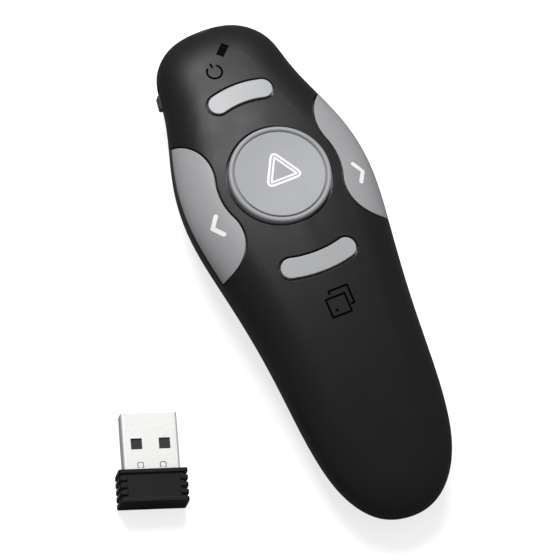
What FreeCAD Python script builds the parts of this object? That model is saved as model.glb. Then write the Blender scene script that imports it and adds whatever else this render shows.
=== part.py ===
import FreeCAD, Part
import math
import os
from FreeCAD import Vector

# Wireless presentation clicker lying on its flat underside, with its plug-in receiver beside it.
# Millimetres. X runs across the body to the right, Y from the tail to the head, Z up from the desk.
# The origin is on the desk under the middle of the body's length.

# Body: outer form
LENGTH = 115.0
WIDTH = 42.2
CREST_HEIGHT = 22.95
SEAM_HEIGHT = 14.5
CREST_ARCH_RADIUS = 157.0
CROWN_RADIUS = 60.0
SEAM_ARCH_RADIUS = 280.0
SHOULDER_WIDTH = 8.0
BOWL_WIDTH = 9.0
RIM_BAND = 1.0
WALL = 1.6
SEAM_GAP = 0.1
# Right half of the plan outline from tail to head: shares of half the width and half the length
OUTLINE_SHARES = [
    (0.36, -0.957), (0.578, -0.856), (0.716, -0.685), (0.777, -0.452), (0.82, -0.25), (0.92, 0.02),
    (1.0, 0.29), (0.943, 0.46), (0.80, 0.626), (0.697, 0.757), (0.607, 0.889), (0.38, 0.972),
]
# The form is drawn in three lengths: round the head, and along each side to the middle of the
# tail. The head's length ends at this point on each side of the upper key, clear of every key.
JOIN_POINT = 10
# How far along its tangents a quarter ellipse drawn as a cubic curve sets its handles
HANDLE_SHARE = 0.5523
# Where the crown's rings end, as a share of the way out from the middle of the round button
CROWN_END_SHARE = 0.12

# Where things sit along the body: shares of half the length, from the middle towards the head
BUTTON_Y_SHARE = 0.3235
UPPER_KEY_Y_SHARE = 0.68
LOWER_KEY_Y_SHARE = -0.04
LOWER_SWITCH_Y_SHARE = -0.0174
BOARD_TAIL_SHARE = -0.0592
BOARD_HEAD_SHARE = 0.774
CHIP_Y_SHARE = 0.1565
WINDOW_Y_SHARE = 0.874
KNOB_Y_SHARE = 0.793
CELL_HEAD_SHARE = -0.0974
CELL_TAIL_SHARE = -0.8713
DOOR_SPLIT_SHARE = -0.0522
GUIDE_RAIL_TAIL_SHARE = -0.7304
GUIDE_RAIL_HEAD_SHARE = -0.3478
GRIP_GROOVE_SHARE = -0.2261
POCKET_TAIL_SHARE = 0.0261
LASER_TAIL_SHARE = 0.7217
LASER_HEAD_SHARE = 0.9043

# Keys: gaps, flange and travel
KEY_GAP = 0.4
SMALL_KEY_GAP = 0.5
FLANGE_CLEARANCE = 0.12
FLANGE_THICKNESS = 0.7
FLANGE_REACH = 0.9
KEY_TRAVEL = 0.35
KEY_FOOT_GAP = 0.15
STEM_RADIUS = 1.6

# Round laser button
BUTTON_Y = BUTTON_Y_SHARE * LENGTH / 2
BUTTON_RADIUS = 11.0
BUTTON_GAP = 0.5
BUTTON_RIM_RISE = 0.6
BUTTON_RIM_WIDTH = 1.15
BUTTON_FACE_RISE = 0.45
BUTTON_DISH = 0.25
BUTTON_GROOVE_WIDTH = 0.2
BUTTON_GROOVE_DEPTH = 0.35
BUTTON_PLATE = 2.2
BUTTON_SKIRT_WALL = 1.3
BUTTON_FLANGE_DROP = 3.0

# Side keys: hollow arc round the button, and a round lobe at each end
KEY_RING_RADIUS = 13.8
TAIL_LOBE_X = 20.7
TAIL_LOBE_BACK = 8.0
HEAD_LOBE_X = 22.16
HEAD_LOBE_AHEAD = 7.25

# Small curved keys
SMALL_KEY_PROUD = 0.35
UPPER_KEY_Y = UPPER_KEY_Y_SHARE * LENGTH / 2
UPPER_KEY_ARC = 20.65
UPPER_KEY_HALF_SPAN = 5.1
UPPER_KEY_WIDTH = 4.35
LOWER_KEY_Y = LOWER_KEY_Y_SHARE * LENGTH / 2
LOWER_KEY_ARC = 24.0
LOWER_KEY_HALF_SPAN = 6.45
LOWER_KEY_WIDTH = 4.3

# Circuit board and what is soldered to it
BOARD_HEIGHT = 12.0
BOARD_THICKNESS = 1.0
BOARD_INSET = 4.0
BOARD_TAIL_Y = BOARD_TAIL_SHARE * LENGTH / 2
BOARD_HEAD_Y = BOARD_HEAD_SHARE * LENGTH / 2
SWITCH_SIDE = 4.6
SWITCH_HEIGHT = 1.5
PLUNGER_RADIUS = 1.2
PLUNGER_RISE = 0.7
PLUNGER_CLEARANCE = 0.05
SIDE_SWITCH_X = 14.8
LOWER_SWITCH_Y = LOWER_SWITCH_Y_SHARE * LENGTH / 2
CHIP_SIDE = 5.0
CHIP_HEIGHT = 0.9
CHIP_Y = CHIP_Y_SHARE * LENGTH / 2
CRYSTAL_LENGTH = 3.2
CRYSTAL_WIDTH = 2.5
CRYSTAL_HEIGHT = 0.8
CRYSTAL_X = 6.5
CAPACITOR_LENGTH = 1.6
CAPACITOR_WIDTH = 0.8
CAPACITOR_X = -6.5
CAPACITOR_PITCH = 1.6
CAPACITOR_COUNT = 4

# Status lamp and its light guide
LAMP_X = 1.45
WINDOW_Y = WINDOW_Y_SHARE * LENGTH / 2
WINDOW_WIDTH = 1.45
WINDOW_LENGTH = 3.0
WINDOW_CLEARANCE = 0.08
WINDOW_RECESS = 0.3
WINDOW_TURN_DEGREES = 48
GUIDE_THICKNESS = 0.7
GUIDE_WIDTH = 1.5
LED_LENGTH = 1.6
LED_WIDTH = 0.8
LED_HEIGHT = 0.6
LED_GAP = 0.1

# Power slide knob on the left edge and the switch behind it
KNOB_Y = KNOB_Y_SHARE * LENGTH / 2
KNOB_HEIGHT = 8.6
KNOB_LENGTH = 3.2
KNOB_TALL = 2.6
KNOB_PROUD = 0.45
KNOB_TRAVEL = 1.6
KNOB_CLEARANCE = 0.2
KNOB_PLATE_LENGTH = 7.4
KNOB_PLATE_TALL = 3.4
KNOB_PLATE_THICKNESS = 0.7
KNOB_PLATE_GAP = 1.0
LEVER_LENGTH = 1.4
LEVER_TALL = 1.4
LEVER_REACH = 1.6
LEVER_CLEARANCE = 0.1
SLIDE_SWITCH_LENGTH = 7.0
SLIDE_SWITCH_DEPTH = 2.8
SLIDE_SWITCH_GAP = 0.3

# Battery and its compartment
CELL_RADIUS = 5.25
CELL_NUB_RADIUS = 1.9
CELL_NUB_LENGTH = 0.8
CELL_HEAD_Y = CELL_HEAD_SHARE * LENGTH / 2
CELL_TAIL_Y = CELL_TAIL_SHARE * LENGTH / 2
CELL_CLEARANCE = 0.3
TRAY_WALL = 1.1
TRAY_ROOF = 0.75
TRAY_ROOF_GAP = 0.15
TRAY_SHELL_GAP = 0.3
PLATE_THICKNESS = 0.4
PLATE_SIDE = 8.6
SPRING_LENGTH = 3.8
SPRING_RADIUS = 3.2
SPRING_WIRE = 0.5
SPRING_TURNS = 3
SPRING_POINTS = 12

# Battery door: the lower tail cover, held by a tongue on each side
DOOR_SPLIT_Y = DOOR_SPLIT_SHARE * LENGTH / 2
DOOR_SPLIT_HEIGHT = 7.0
DOOR_GAP = 0.15
DECK_THICKNESS = 1.2
BULKHEAD = 1.1
GUIDE_RAIL_X = 9.0
GUIDE_RAIL_WALL = 0.9
GUIDE_RAIL_FOOT = 1.9
GUIDE_RAIL_DROP = 2.5
GUIDE_RAIL_TAIL_Y = GUIDE_RAIL_TAIL_SHARE * LENGTH / 2
GUIDE_RAIL_HEAD_Y = GUIDE_RAIL_HEAD_SHARE * LENGTH / 2
TONGUE_CLEARANCE = 0.2
TONGUE_WALL = 0.9
GRIP_GROOVE_COUNT = 5
GRIP_GROOVE_PITCH = 2.2
GRIP_GROOVE_WIDTH = 0.9
GRIP_GROOVE_DEPTH = 0.4
GRIP_GROOVE_SPAN = 13.0
GRIP_GROOVE_Y = GRIP_GROOVE_SHARE * LENGTH / 2

# Receiver pocket in the underside
POCKET_CLEARANCE = 0.3
POCKET_TAIL_Y = POCKET_TAIL_SHARE * LENGTH / 2
POCKET_WALL = 1.1
POCKET_RECESS = 0.4
POCKET_NOTCH_RADIUS = 5.0
POCKET_NOTCH_DEPTH = 1.0

# Posts and screws
SCREW_RADIUS = 1.0
SCREW_CLEARANCE = 0.1
SCREW_HEAD_RADIUS = 1.9
SCREW_HEAD_HEIGHT = 1.2
SCREW_DRIVE_RADIUS = 0.8
SCREW_DRIVE_DEPTH = 0.6
SCREW_BITE = 4.5
POST_RADIUS = 2.3
POST_GAP = 0.1
# Each pair of posts: distance from the middle plane, and share of half the length
BOARD_POST_TAIL = (11.8, 0.0609)
BOARD_POST_HEAD = (6.5, 0.4783)
SHELL_POST_HEAD = (9.8, 0.5652)
SHELL_POST_TAIL = (10.5, -0.1913)
SHELL_JOIN_HEIGHT = 10.0
HEAD_RECESS_HEIGHT = 3.2
HEAD_RECESS_GAP = 0.2

# Laser in the head end
LASER_RADIUS = 3.0
LASER_TAIL_Y = LASER_TAIL_SHARE * LENGTH / 2
LASER_HEAD_Y = LASER_HEAD_SHARE * LENGTH / 2
LASER_BORE_RADIUS = 2.1
LASER_BORE_DEPTH = 2.5
LENS_CLEARANCE = 0.05
LENS_THICKNESS = 1.2
LENS_BULGE = 0.5
SADDLE_CLEARANCE = 0.05
SADDLE_THICKNESS = 1.2
SADDLE_WIDTH = 9.0
SADDLE_SETBACK = 1.5
EXIT_RADIUS = 2.5
EXIT_CLEARANCE = 0.1
EXIT_FLANGE = 0.8
EXIT_THICKNESS = 2.6
LEAD_RADIUS = 0.45
LEAD_X = 1.0
LEAD_RUN = 0.9
LEAD_BEND = 2.4

# Receiver
RECEIVER_WIDTH = 14.7
RECEIVER_THICKNESS = 7.2
RECEIVER_GRIP = 7.1
RECEIVER_RIB_COUNT = 5
RECEIVER_RIB_SHARE = 0.52
RECEIVER_RIB_DEPTH = 0.45
RECEIVER_RIB_WRAP = 1.7
RECEIVER_BEVEL = 0.5
PLUG_WIDTH = 12.0
PLUG_THICKNESS = 4.5
PLUG_LENGTH = 12.5
PLUG_SHEET = 0.3
PLUG_CORNER = 0.5
PLUG_HOLE = 2.4
PLUG_HOLE_X = 3.0
PLUG_HOLE_SETBACK = 6.7
PLUG_TAB_WIDTH = 1.4
PLUG_TAB_LENGTH = 1.25
PLUG_TAB_X = 2.4
PLUG_TAB_SETBACK = 11.3
PLUG_TAB_ROUNDING = 0.45
PLUG_TAB_SLIT = 0.16
PLUG_TAB_BRIDGE = 0.4
# An edge whose direction rises by more than this share of its length counts as upright
UPRIGHT = 0.95
TONGUE_WIDTH = 11.1
TONGUE_THICKNESS = 1.9
TONGUE_SETBACK = 0.8
CONTACT_WIDTH = 1.0
CONTACT_THICKNESS = 0.15
CONTACT_INNER_X = 1.0
CONTACT_OUTER_X = 3.5
CONTACT_INNER_LENGTH = 6.4
CONTACT_OUTER_LENGTH = 7.4
RECEIVER_BOARD_THICKNESS = 0.8
RECEIVER_BOARD_LENGTH = 5.6
RECEIVER_BOARD_WIDTH = 11.0
RECEIVER_FIT = 0.05
RECEIVER_X = -46.7
RECEIVER_Y = -25.0
RECEIVER_TURN_DEGREES = -19.5

# One overrun for every cut that has to pass clean through
OVERRUN = 60.0

os.makedirs("parts", exist_ok=True)


def box(x0, x1, y0, y1, z0, z1):
    return Part.makeBox(x1 - x0, y1 - y0, z1 - z0, Vector(x0, y0, z0))


def post(x, y, z0, z1, radius):
    return Part.makeCylinder(radius, z1 - z0, Vector(x, y, z0))


def rod_along_y(radius, y0, y1, x, z):
    return Part.makeCylinder(radius, y1 - y0, Vector(x, y0, z), Vector(0, 1, 0))


def joined(shapes):
    return shapes[0].multiFuse(shapes[1:]).removeSplitter()


def save(name, shape):
    shape.exportStep("parts/" + name + ".step")


# The outer form: one closed outline, lifted and drawn in as rings


def outline_curve():
    right = [Vector(x * WIDTH / 2, y * LENGTH / 2, 0) for x, y in OUTLINE_SHARES]
    left = [Vector(-p.x, p.y, 0) for p in reversed(right)]
    tail = Vector(0, -LENGTH / 2, 0)
    head = Vector(0, LENGTH / 2, 0)
    points = [tail] + right + [head] + left
    curve = Part.BSplineCurve()
    curve.interpolate(Points=points, PeriodicFlag=True)
    return curve, points


OUTLINE, OUTLINE_POINTS = outline_curve()
RING_KNOTS = OUTLINE.getKnots()
RIGHT_JOIN = RING_KNOTS[JOIN_POINT]
LEFT_JOIN = RING_KNOTS[len(OUTLINE_POINTS) - JOIN_POINT]
TAIL_JOIN = RING_KNOTS[-1]
RING_LENGTHS = [(RIGHT_JOIN, LEFT_JOIN), (LEFT_JOIN, TAIL_JOIN), (TAIL_JOIN, TAIL_JOIN + RIGHT_JOIN - RING_KNOTS[0])]


def outward(point):
    along = OUTLINE.tangent(OUTLINE.parameter(point))[0]
    return Vector(along.y, -along.x, 0)


OUTLINE_NORMALS = [outward(p) for p in OUTLINE_POINTS]


def drawn_in(distance):
    return [p - n * distance for p, n in zip(OUTLINE_POINTS, OUTLINE_NORMALS)]


def ring(points):
    curve = Part.BSplineCurve()
    curve.interpolate(Points=points, PeriodicFlag=True, Parameters=RING_KNOTS)
    curve.setOrigin(JOIN_POINT + 1)
    return curve


def seam_height(y):
    return SEAM_HEIGHT - y ** 2 / (2 * SEAM_ARCH_RADIUS)


def crest_height(x, y):
    return CREST_HEIGHT - y ** 2 / (2 * CREST_ARCH_RADIUS) - x ** 2 / (2 * CROWN_RADIUS)


def crest_slope(point):
    return Vector(-point.x / CROWN_RADIUS, -point.y / CREST_ARCH_RADIUS, 0)


def at_height(point, height):
    return Vector(point.x, point.y, height)


def band(rings):
    """A smooth surface from the first ring to the last, with the rings between as its handles."""
    curves = [ring(points) for points in rings]
    columns = zip(*[curve.getPoles() for curve in curves])
    degree = len(rings) - 1
    first = curves[0]
    surface = Part.BSplineSurface()
    surface.buildFromPolesMultsKnots(
        [list(column) for column in columns],
        first.getMultiplicities(), [degree + 1, degree + 1],
        first.getKnots(), [0.0, 1.0], True, False, first.Degree, degree)
    faces = []
    for start, end in RING_LENGTHS:
        part = surface.copy()
        part.segment(start, end, 0.0, 1.0)
        faces.append(part.toShape())
    return faces


def lid(points):
    curve = ring(points)
    return Part.Face(Part.Wire([curve.toShape(start, end) for start, end in RING_LENGTHS]))


FORMS = {}


def form(inset):
    """The body's closed outer form, drawn in everywhere by the inset."""
    if inset in FORMS:
        return FORMS[inset]
    side = drawn_in(inset)
    foot = [at_height(p, inset) for p in drawn_in(BOWL_WIDTH)]
    bowl_reach = BOWL_WIDTH - (BOWL_WIDTH - inset) * HANDLE_SHARE
    bowl_foot = [at_height(p, inset) for p in drawn_in(bowl_reach)]
    rim = [at_height(p, seam_height(p.y) - RIM_BAND) for p in side]
    bowl_rim = [at_height(p, p.z + (inset - p.z) * HANDLE_SHARE) for p in rim]
    crest = [at_height(p, crest_height(p.x, p.y) - inset) for p in drawn_in(SHOULDER_WIDTH)]
    shoulder_reach = SHOULDER_WIDTH - (SHOULDER_WIDTH - inset) * HANDLE_SHARE
    shoulder_crest = []
    for p, c in zip(drawn_in(shoulder_reach), crest):
        rise = crest_slope(c).dot(at_height(p - c, 0))
        shoulder_crest.append(at_height(p, c.z + rise))
    shoulder_rim = [at_height(p, p.z + (c.z - p.z) * HANDLE_SHARE) for p, c in zip(rim, shoulder_crest)]
    middle = Vector(0, BUTTON_Y, crest_height(0, BUTTON_Y) - inset)
    crown_handle = []
    crown_end = []
    for c in crest:
        out = at_height(c - middle, 0)
        slope = crest_slope(middle).dot(out)
        bend = c.z - middle.z - slope
        half = (1 + CROWN_END_SHARE) / 2
        crown_handle.append(middle + out * half + Vector(0, 0, slope * half + bend * CROWN_END_SHARE))
        crown_end.append(middle + (out + Vector(0, 0, slope)) * CROWN_END_SHARE)
    faces = [lid(foot), lid(crown_end)]
    faces += band([foot, bowl_foot, bowl_rim, rim])
    faces += band([rim, shoulder_rim, shoulder_crest, crest])
    faces += band([crest, crown_handle, crown_end])
    shell = Part.makeShell(faces)
    shell.sewShape()
    FORMS[inset] = Part.makeSolid(shell)
    return FORMS[inset]


def below_seam(shift):
    """All the room under the arched seam, with the seam moved up by the shift."""
    ends = []
    for y in (-LENGTH, 0, LENGTH):
        ends.append(Vector(-WIDTH, y, seam_height(y) + shift))
    arch = Part.BSplineCurve()
    tangent_height = 2 * ends[1].z - ends[0].z
    arch.buildFromPolesMultsKnots(
        [ends[0], at_height(ends[1], tangent_height), ends[2]], [3, 3], [0.0, 1.0], False, 2)
    low_head = at_height(ends[2], ends[2].z - OVERRUN)
    low_tail = at_height(ends[0], ends[0].z - OVERRUN)
    edges = [
        arch.toShape(),
        Part.LineSegment(ends[2], low_head).toShape(),
        Part.LineSegment(low_head, low_tail).toShape(),
        Part.LineSegment(low_tail, ends[0]).toShape(),
    ]
    return Part.Face(Part.Wire(edges)).extrude(Vector(2 * WIDTH, 0, 0))


# Plans of the keys, each drawn larger by a margin where its opening or flange needs it


def polar(centre, radius, angle):
    return centre + Vector(radius * math.cos(angle), radius * math.sin(angle), 0)


def arc(centre, radius, start, end):
    middle = (start + end) / 2
    return Part.Arc(polar(centre, radius, start), polar(centre, radius, middle), polar(centre, radius, end))


def prism(edges, floor):
    solid = Part.Face(Part.Wire(edges)).extrude(Vector(0, 0, OVERRUN))
    solid.translate(Vector(0, 0, floor))
    return solid


def side_key_prism(hand, margin):
    """Tail lobe, hollow arc round the button and head lobe, open to the outside of the body."""
    button = Vector(0, BUTTON_Y, 0)
    tail = Vector(TAIL_LOBE_X, BUTTON_Y - TAIL_LOBE_BACK, 0)
    head = Vector(HEAD_LOBE_X, BUTTON_Y + HEAD_LOBE_AHEAD, 0)
    tail_radius = tail.distanceToPoint(button) - KEY_RING_RADIUS + margin
    head_radius = head.distanceToPoint(button) - KEY_RING_RADIUS + margin
    to_tail = math.atan2(tail.y - button.y, tail.x - button.x)
    to_head = math.atan2(head.y - button.y, head.x - button.x)
    tail_arc = arc(tail, tail_radius, -math.pi / 2, to_tail - math.pi)
    hollow = arc(button, KEY_RING_RADIUS - margin, to_tail, to_head)
    head_arc = arc(head, head_radius, to_head + math.pi, math.pi / 2)
    start = polar(tail, tail_radius, -math.pi / 2)
    finish = polar(head, head_radius, math.pi / 2)
    far_start = Vector(WIDTH, start.y, 0)
    far_finish = Vector(WIDTH, finish.y, 0)
    edges = [
        Part.LineSegment(far_start, start).toShape(),
        tail_arc.toShape(),
        hollow.toShape(),
        head_arc.toShape(),
        Part.LineSegment(finish, far_finish).toShape(),
        Part.LineSegment(far_finish, far_start).toShape(),
    ]
    right = prism(edges, 0)
    if hand > 0:
        return right
    return right.mirror(Vector(0, 0, 0), Vector(1, 0, 0))


def curved_key_prism(y, arc_radius, half_span, width, bow, margin):
    """A slot with round ends along an arc that bows towards the head or the tail."""
    centre = Vector(0, y - bow * arc_radius, 0)
    half = width / 2 + margin
    upright = bow * math.pi / 2
    swing = math.asin(half_span / arc_radius)
    left = upright + swing
    right = upright - swing
    left_end = polar(centre, arc_radius, left)
    right_end = polar(centre, arc_radius, right)
    edges = [
        arc(centre, arc_radius + half, right, left).toShape(),
        arc(left_end, half, left, left + math.pi).toShape(),
        arc(centre, arc_radius - half, left, right).toShape(),
        arc(right_end, half, right - math.pi, right).toShape(),
    ]
    return prism(edges, BOARD_HEIGHT)


def upper_key_prism(margin):
    return curved_key_prism(UPPER_KEY_Y, UPPER_KEY_ARC, UPPER_KEY_HALF_SPAN, UPPER_KEY_WIDTH, 1, margin)


def lower_key_prism(margin):
    return curved_key_prism(LOWER_KEY_Y, LOWER_KEY_ARC, LOWER_KEY_HALF_SPAN, LOWER_KEY_WIDTH, -1, margin)


# Heights and places that several pieces share

BOARD_TOP = BOARD_HEIGHT + BOARD_THICKNESS
PLUNGER_TOP = BOARD_TOP + SWITCH_HEIGHT + PLUNGER_RISE
FLANGE_TOP = WALL + FLANGE_CLEARANCE
FLANGE_BOTTOM = FLANGE_TOP + FLANGE_THICKNESS
BUTTON_TILT = math.degrees(math.atan(BUTTON_Y / CREST_ARCH_RADIUS))
BUTTON_CENTRE = Vector(0, BUTTON_Y, crest_height(0, BUTTON_Y))
LASER_HEIGHT = seam_height(LENGTH / 2)
CELL_HEIGHT = WALL + CELL_CLEARANCE + CELL_RADIUS
SWITCH_PLACES = {
    "laser": (0, BUTTON_Y),
    "left": (-SIDE_SWITCH_X, BUTTON_Y),
    "right": (SIDE_SWITCH_X, BUTTON_Y),
    "upper": (0, UPPER_KEY_Y),
    "lower": (0, LOWER_SWITCH_Y),
}
HANDS = (-1, 1)


def on_button_axis(shape):
    """Lean a shape drawn upright at the origin onto the crown under the round button."""
    shape.rotate(Vector(0, 0, 0), Vector(1, 0, 0), -BUTTON_TILT)
    shape.translate(BUTTON_CENTRE)
    return shape


def button_hole():
    radius = BUTTON_RADIUS + BUTTON_GAP
    return on_button_axis(Part.makeCylinder(radius, CREST_HEIGHT, Vector(0, 0, -SHOULDER_WIDTH)))


def window_prism(margin):
    """The small status window, a rectangle standing on one corner."""
    half_width = WINDOW_WIDTH / 2 + margin
    half_length = WINDOW_LENGTH / 2 + margin
    shape = box(-half_width, half_width, -half_length, half_length, 0, OVERRUN)
    shape.rotate(Vector(0, 0, 0), Vector(0, 0, 1), -WINDOW_TURN_DEGREES)
    shape.translate(Vector(LAMP_X, WINDOW_Y, 0))
    return shape


def exit_rod(radius):
    return rod_along_y(radius, LASER_HEAD_Y, LENGTH, 0, LASER_HEIGHT)


def mirrored_places(place):
    x, y_share = place
    return [(hand * x, y_share * LENGTH / 2) for hand in HANDS]


# Casing


def casing():
    return form(0).cut(form(WALL))


def upper_shell():
    shell = casing().cut(below_seam(SEAM_GAP / 2))
    bosses = []
    for x, y in mirrored_places(SHELL_POST_HEAD):
        bosses.append(post(x, y, SHELL_JOIN_HEIGHT + POST_GAP, CREST_HEIGHT, POST_RADIUS))
    for x, y in mirrored_places(SHELL_POST_TAIL):
        deck_top = DOOR_SPLIT_HEIGHT + DECK_THICKNESS
        bosses.append(post(x, y, deck_top + POST_GAP, CREST_HEIGHT, POST_RADIUS))
    inside = form(WALL / 2)
    shell = joined([shell] + [boss.common(inside) for boss in bosses])
    cuts = [side_key_prism(hand, KEY_GAP) for hand in HANDS]
    cuts += [upper_key_prism(SMALL_KEY_GAP), lower_key_prism(SMALL_KEY_GAP)]
    cuts += [button_hole(), window_prism(WINDOW_CLEARANCE), exit_rod(EXIT_RADIUS + EXIT_CLEARANCE)]
    for x, y in mirrored_places(SHELL_POST_HEAD) + mirrored_places(SHELL_POST_TAIL):
        cuts.append(post(x, y, 0, SHELL_JOIN_HEIGHT + SCREW_BITE, SCREW_RADIUS + SCREW_CLEARANCE))
    for cut in cuts:
        shell = shell.cut(cut)
    return shell


def battery_tray():
    """Walls and roof round the cell, open downwards to the door."""
    half = CELL_RADIUS + CELL_CLEARANCE
    head = CELL_HEAD_Y + PLATE_THICKNESS
    tail = CELL_TAIL_Y - SPRING_LENGTH
    roof = CELL_HEIGHT + CELL_RADIUS + TRAY_ROOF_GAP
    floor = WALL + CELL_CLEARANCE
    outer = box(-half - TRAY_WALL, half + TRAY_WALL, tail - TRAY_WALL, head + TRAY_WALL, floor, roof + TRAY_ROOF)
    return outer.common(form(WALL + TRAY_SHELL_GAP)), box(-half, half, tail, head, 0, roof)


def receiver_pocket():
    """Outer walls and inner space of the pocket that the receiver is stored in."""
    half = RECEIVER_WIDTH / 2 + POCKET_CLEARANCE
    head = POCKET_TAIL_Y + PLUG_LENGTH + RECEIVER_GRIP + 2 * POCKET_CLEARANCE
    roof = RECEIVER_THICKNESS + POCKET_RECESS + POCKET_CLEARANCE
    outer = box(-half - POCKET_WALL, half + POCKET_WALL, POCKET_TAIL_Y - POCKET_WALL, head + POCKET_WALL,
                WALL / 2, roof + POCKET_WALL)
    inner = box(-half, half, POCKET_TAIL_Y, head, -OVERRUN, roof)
    notch = Part.makeSphere(POCKET_NOTCH_RADIUS, Vector(0, head, POCKET_NOTCH_DEPTH - POCKET_NOTCH_RADIUS))
    return outer, inner, notch


def guide_rails():
    """Two angle rails under the deck that the door's tongues hook over."""
    foot = DOOR_SPLIT_HEIGHT - GUIDE_RAIL_DROP
    rails = []
    for hand in HANDS:
        web = box(GUIDE_RAIL_X, GUIDE_RAIL_X + GUIDE_RAIL_WALL, GUIDE_RAIL_TAIL_Y, GUIDE_RAIL_HEAD_Y,
                  foot, DOOR_SPLIT_HEIGHT + DECK_THICKNESS / 2)
        flange = box(GUIDE_RAIL_X, GUIDE_RAIL_X + GUIDE_RAIL_FOOT, GUIDE_RAIL_TAIL_Y, GUIDE_RAIL_HEAD_Y,
                     foot, foot + GUIDE_RAIL_WALL)
        rail = web.fuse(flange)
        rails.append(rail if hand > 0 else rail.mirror(Vector(0, 0, 0), Vector(1, 0, 0)))
    return rails


def laser_saddles():
    saddles = []
    for y in (LASER_TAIL_Y + SADDLE_SETBACK, LASER_HEAD_Y - SADDLE_SETBACK - SADDLE_THICKNESS):
        rib = box(-SADDLE_WIDTH / 2, SADDLE_WIDTH / 2, y, y + SADDLE_THICKNESS, WALL / 2, LASER_HEIGHT)
        saddles.append(rib.common(form(WALL / 2)))
    return saddles


def knob_place():
    """The point of the outline beside the knob, with the directions along and out of the wall."""
    wall = OUTLINE.toShape()
    level = Part.LineSegment(Vector(-WIDTH, KNOB_Y, 0), Vector(0, KNOB_Y, 0)).toShape()
    point = wall.distToShape(level)[1][0][0]
    out = outward(point)
    along = Vector(out.y, -out.x, 0)
    return Vector(point.x, point.y, 0), along, out


def at_knob(u0, u1, w0, w1, z0, z1):
    """A block beside the knob: u along the wall towards the head, w outwards from it."""
    point, along, out = knob_place()
    corners = [point + along * u + out * w + Vector(0, 0, z0) for u, w in ((u0, w0), (u1, w0), (u1, w1), (u0, w1))]
    return Part.Face(Part.makePolygon(corners + [corners[0]])).extrude(Vector(0, 0, z1 - z0))


def lower_shell():
    shell = casing().common(below_seam(-SEAM_GAP / 2))
    door_room = box(-WIDTH, WIDTH, -LENGTH, DOOR_SPLIT_Y, -OVERRUN, DOOR_SPLIT_HEIGHT)
    shell = shell.cut(door_room)
    inside = form(WALL / 2)
    deck_top = DOOR_SPLIT_HEIGHT + DECK_THICKNESS
    deck = box(-WIDTH, WIDTH, -LENGTH, DOOR_SPLIT_Y + BULKHEAD, DOOR_SPLIT_HEIGHT, deck_top).common(inside)
    bulkhead = box(-WIDTH, WIDTH, DOOR_SPLIT_Y, DOOR_SPLIT_Y + BULKHEAD, 0, deck_top).common(inside)
    tray, cell_room = battery_tray()
    pocket, receiver_room, notch = receiver_pocket()
    pieces = [shell, deck, bulkhead, tray, pocket] + guide_rails() + laser_saddles()
    for x, y in mirrored_places(BOARD_POST_TAIL) + mirrored_places(BOARD_POST_HEAD):
        pieces.append(post(x, y, WALL / 2, BOARD_HEIGHT, POST_RADIUS))
    for x, y in mirrored_places(SHELL_POST_HEAD):
        pieces.append(post(x, y, WALL / 2, SHELL_JOIN_HEIGHT, SCREW_HEAD_RADIUS + HEAD_RECESS_GAP + WALL / 2))
    shell = joined(pieces)
    hole = SCREW_RADIUS + SCREW_CLEARANCE
    cuts = [cell_room, receiver_room, notch, exit_rod(EXIT_RADIUS + EXIT_CLEARANCE)]
    cuts.append(rod_along_y(LASER_RADIUS + SADDLE_CLEARANCE, LASER_TAIL_Y, LASER_HEAD_Y, 0, LASER_HEIGHT))
    for x, y in mirrored_places(BOARD_POST_TAIL) + mirrored_places(BOARD_POST_HEAD):
        cuts.append(post(x, y, BOARD_HEIGHT - SCREW_BITE, OVERRUN, hole))
    for x, y in mirrored_places(SHELL_POST_HEAD):
        cuts.append(post(x, y, -WALL, HEAD_RECESS_HEIGHT, SCREW_HEAD_RADIUS + HEAD_RECESS_GAP))
        cuts.append(post(x, y, 0, OVERRUN, hole))
    for x, y in mirrored_places(SHELL_POST_TAIL):
        cuts.append(post(x, y, 0, OVERRUN, hole))
    slot_half = KNOB_LENGTH / 2 + KNOB_CLEARANCE
    slot_tall = KNOB_TALL / 2 + KNOB_CLEARANCE
    cuts.append(at_knob(-slot_half, slot_half + KNOB_TRAVEL, -2 * WALL, WALL,
                        KNOB_HEIGHT - slot_tall, KNOB_HEIGHT + slot_tall))
    for cut in cuts:
        shell = shell.cut(cut)
    return shell


def battery_door():
    """The cover's skin is the casing's own, with two hooked tongues and a ribbed thumb grip."""
    room = box(-WIDTH, WIDTH, -LENGTH, DOOR_SPLIT_Y - DOOR_GAP, 0, DOOR_SPLIT_HEIGHT - DOOR_GAP)
    skin = casing().common(room)
    foot_top = DOOR_SPLIT_HEIGHT - GUIDE_RAIL_DROP + GUIDE_RAIL_WALL
    hook_bottom = foot_top + TONGUE_CLEARANCE
    hook_top = DOOR_SPLIT_HEIGHT - TONGUE_CLEARANCE
    web_x = GUIDE_RAIL_X + GUIDE_RAIL_FOOT + TONGUE_CLEARANCE
    hook_x = GUIDE_RAIL_X + GUIDE_RAIL_WALL + TONGUE_CLEARANCE
    inside = form(WALL / 2)
    pieces = [skin]
    for hand in HANDS:
        web = box(web_x, web_x + TONGUE_WALL, GUIDE_RAIL_TAIL_Y, GUIDE_RAIL_HEAD_Y, WALL, hook_top)
        hook = box(hook_x, web_x + TONGUE_WALL, GUIDE_RAIL_TAIL_Y, GUIDE_RAIL_HEAD_Y, hook_bottom, hook_top)
        tongue = web.fuse(hook).common(inside)
        pieces.append(tongue if hand > 0 else tongue.mirror(Vector(0, 0, 0), Vector(1, 0, 0)))
    door = joined(pieces)
    for i in range(GRIP_GROOVE_COUNT):
        y = GRIP_GROOVE_Y + (i - (GRIP_GROOVE_COUNT - 1) / 2) * GRIP_GROOVE_PITCH
        groove = box(-GRIP_GROOVE_SPAN / 2, GRIP_GROOVE_SPAN / 2, y - GRIP_GROOVE_WIDTH / 2,
                     y + GRIP_GROOVE_WIDTH / 2, -WALL, GRIP_GROOVE_DEPTH)
        door = door.cut(groove)
    return door


# Keys


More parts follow.
